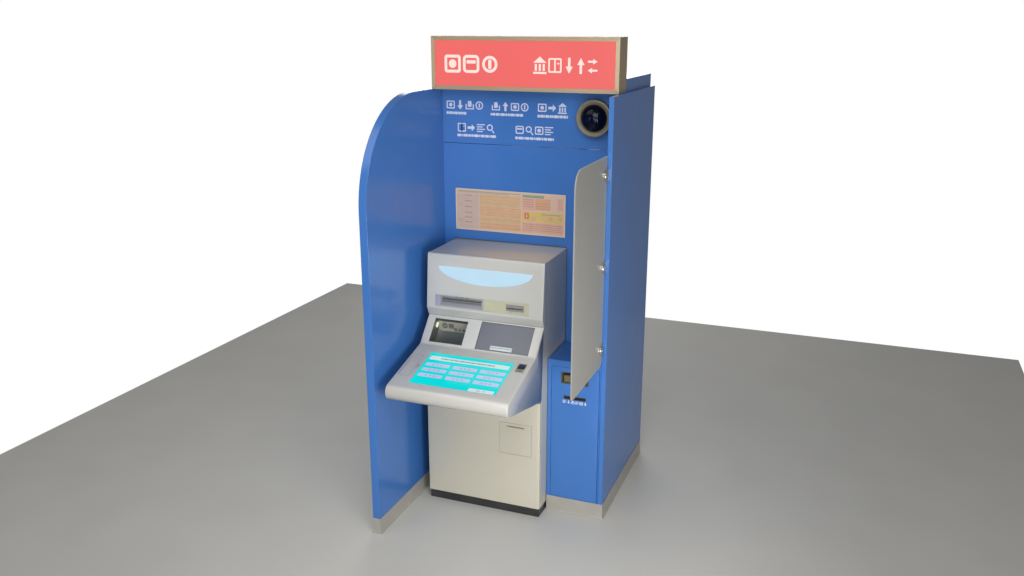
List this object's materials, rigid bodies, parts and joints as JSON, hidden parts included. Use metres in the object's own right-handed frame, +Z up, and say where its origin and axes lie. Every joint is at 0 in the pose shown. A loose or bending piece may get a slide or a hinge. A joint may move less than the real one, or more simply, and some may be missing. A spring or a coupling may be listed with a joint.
{
  "type": "atm machine",
  "caption": "Walk-up cash machine with sloping desk and coin and note pockets, in a blue laminate booth with lit sign, privacy screen and waste bin.",
  "frame": {"origin": "on the floor, under the middle of the whole booth's bounding box", "axes": "+Z up; the customer stands on the -Y side and looks towards +Y; +X is to the customer's right"},
  "size_m": [1.0274, 1.351, 2.3535],
  "materials": {
    "beige_insert": "pale olive beige moulding",
    "black_glass": "smoked acrylic, mirror gloss",
    "black_plinth": "satin black powder coat",
    "blue_laminate": "glossy blue decorative laminate over board",
    "bronze_ring": "bronze metallic paint",
    "brown_plastic": "dark brown moulding",
    "chrome": "polished chrome",
    "dark_grey_plastic": "dark blue grey moulding, satin",
    "frosted_acrylic": "grey frosted acrylic with polished edges",
    "lamp_lens": "pale blue diffusing lens, lit from behind",
    "module_housing": "grey module housing",
    "notice_print": "printed sheet with a satin film",
    "rubber_foot": "black rubber",
    "safe_paint": "textured charcoal paint",
    "satin_steel": "satin stainless steel",
    "screen_glass": "lit display under clear glass",
    "sign_face": "translucent coral red acrylic, lit from behind",
    "sign_metal": "brushed champagne anodised extrusion",
    "vinyl_skirting": "soft warm grey coved vinyl",
    "warm_grey_case": "fine-grained warm light grey moulding",
    "warm_grey_steel": "warm light grey powder coat",
    "zinc_sheet": "zinc-plated sheet"
  },
  "bodies": {
    "booth": {"bill_pocket": "dark_grey_plastic", "bin_cabinet": "blue_laminate", "camera_dome": "black_glass", "camera_housing": "bronze_ring", "card_reader": "dark_grey_plastic", "coin_recycler": "module_housing", "coin_tray": "satin_steel", "console": "warm_grey_case", "controller": "module_housing", "display_unit": "module_housing", "handset_cradle": "warm_grey_case", "header_panel": "blue_laminate", "inner_shelf": "zinc_sheet", "left_side_panel": "blue_laminate", "left_skirting": "vinyl_skirting", "levelling_foot_1": "rubber_foot", "levelling_foot_2": "rubber_foot", "levelling_foot_3": "rubber_foot", "levelling_foot_4": "rubber_foot", "machine_cabinet": "warm_grey_steel", "note_recycler": "module_housing", "notice_board": "notice_print", "passbook_printer": "module_housing", "plinth": "black_plinth", "privacy_screen": "frosted_acrylic", "reader_block": "dark_grey_plastic", "rear_cover": "warm_grey_steel", "right_side_panel": "blue_laminate", "right_skirting": "vinyl_skirting", "safe_body": "safe_paint", "safe_door": "safe_paint", "screen_clamp_1": "chrome", "screen_clamp_2": "chrome", "screen_clamp_3": "chrome", "service_hood": "blue_laminate", "sign_back": "zinc_sheet", "sign_face": "sign_face", "sign_frame": "sign_metal", "sign_lamp_bar": "lamp_lens", "surround_panel": "blue_laminate", "touch_screen": "screen_glass", "waste_pail": "dark_grey_plastic"},
    "rear_door": {"rear_door": "blue_laminate"},
    "rear_door_lock": {"rear_door_lock": "satin_steel"},
    "camera_module": {"camera_module": "dark_grey_plastic"},
    "bin_door": {"bin_door": "blue_laminate", "envelope_pocket": "brown_plastic"},
    "front_door": {"front_door": "warm_grey_steel"},
    "maintenance_flap": {"maintenance_flap": "warm_grey_steel"},
    "key_switch": {"key_switch": "satin_steel"},
    "upper_fascia": {"upper_fascia": "warm_grey_case", "crescent_lens": "lamp_lens", "insert_panel": "beige_insert", "passbook_bezel": "dark_grey_plastic", "card_bezel": "dark_grey_plastic"},
    "bill_shutter": {"bill_shutter": "dark_grey_plastic", "shutter_pull": "satin_steel"},
    "coin_shutter": {"coin_shutter": "frosted_acrylic"},
    "handset": {"handset": "warm_grey_case"}
  },
  "joints": [
    {"name": "rear_door_hinge", "type": "hinge", "parent": "booth", "child": "rear_door", "pos_m": [0.4715, 0.6665, 0.012], "axis": [0, 0, -1], "range_deg": [0, 100]},
    {"name": "rear_lock_turn", "type": "hinge", "parent": "rear_door", "child": "rear_door_lock", "pos_m": [-0.4245, 0.6755, 1], "axis": [0, 1, 0], "range_deg": [0, 90]},
    {"name": "camera_swivel", "type": "hinge", "parent": "booth", "child": "camera_module", "pos_m": [0.3485, 0.1452, 1.979], "axis": [0, 1, 0], "range_deg": [-170, 170]},
    {"name": "bin_door_hinge", "type": "hinge", "parent": "booth", "child": "bin_door", "pos_m": [0.468, -0.1275, 0.083], "axis": [0, 0, 1], "range_deg": [0, 95]},
    {"name": "front_door_hinge", "type": "hinge", "parent": "booth", "child": "front_door", "pos_m": [0.1985, -0.2305, 0.048], "axis": [0, 0, 1], "range_deg": [0, 100]},
    {"name": "maintenance_flap_hinge", "type": "hinge", "parent": "front_door", "child": "maintenance_flap", "pos_m": [-0.0065, -0.239, 0.3325], "axis": [1, 0, 0], "range_deg": [0, 95]},
    {"name": "key_switch_turn", "type": "hinge", "parent": "front_door", "child": "key_switch", "pos_m": [0.079, -0.2405, 0.405], "axis": [0, 1, 0], "range_deg": [0, 90]},
    {"name": "fascia_hinge", "type": "hinge", "parent": "booth", "child": "upper_fascia", "pos_m": [-0.4055, -0.154, 1.319], "axis": [-1, 0, 0], "range_deg": [0, 70]},
    {"name": "bill_shutter_slide", "type": "slide", "parent": "booth", "child": "bill_shutter", "axis": [0, -0.6754, -0.7374], "range_m": [0, 0.147]},
    {"name": "coin_shutter_slide", "type": "slide", "parent": "booth", "child": "coin_shutter", "axis": [0, 0.6754, 0.7374], "range_m": [0, 0.145]},
    {"name": "handset_lift", "type": "slide", "parent": "booth", "child": "handset", "axis": [0, -0.2425, 0.9702], "range_m": [0, 0.06]}
  ]
}
